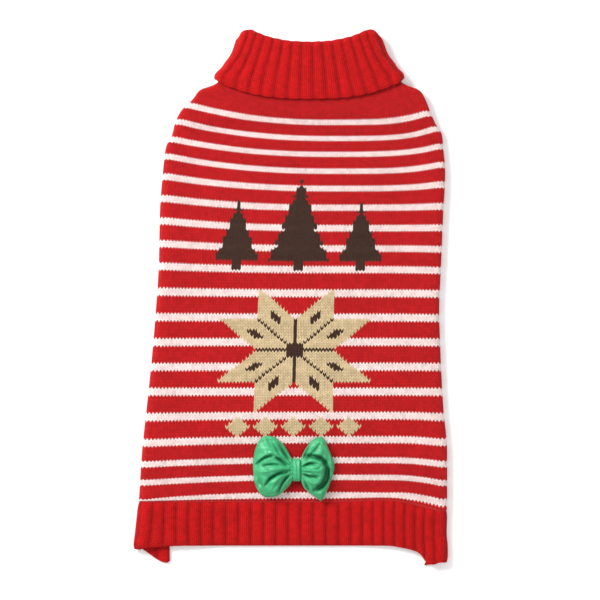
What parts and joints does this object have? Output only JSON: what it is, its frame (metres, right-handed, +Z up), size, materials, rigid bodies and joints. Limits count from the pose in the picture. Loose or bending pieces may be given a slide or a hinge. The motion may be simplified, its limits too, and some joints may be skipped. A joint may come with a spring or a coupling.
{
  "type": "dog sweater",
  "caption": "Striped knitted dog sweater laid flat, back up, with a turned-down ribbed collar, a ribbed hem and a small satin bow.",
  "frame": {"origin": "on the surface it lies on, below the middle of the outline's box", "axes": "+Y towards the collar along the dog's back, +X towards the right side in the top view, +Z up out of the surface"},
  "size_m": [0.2345, 0.4014, 0.0126],
  "materials": {
    "knit_striped": "matt stocking stitch, thin white stripes on red",
    "rib_red": "matt two by two rib",
    "satin_green": "glossy satin"
  },
  "bodies": {
    "root": {"back_panel": "knit_striped", "belly_panel": "knit_striped", "arch_band": "rib_red", "leg_band_left": "rib_red", "leg_band_right": "rib_red", "hem_band": "rib_red", "collar": "rib_red", "bow": "satin_green", "bow_knot": "satin_green"}
  },
  "joints": []
}
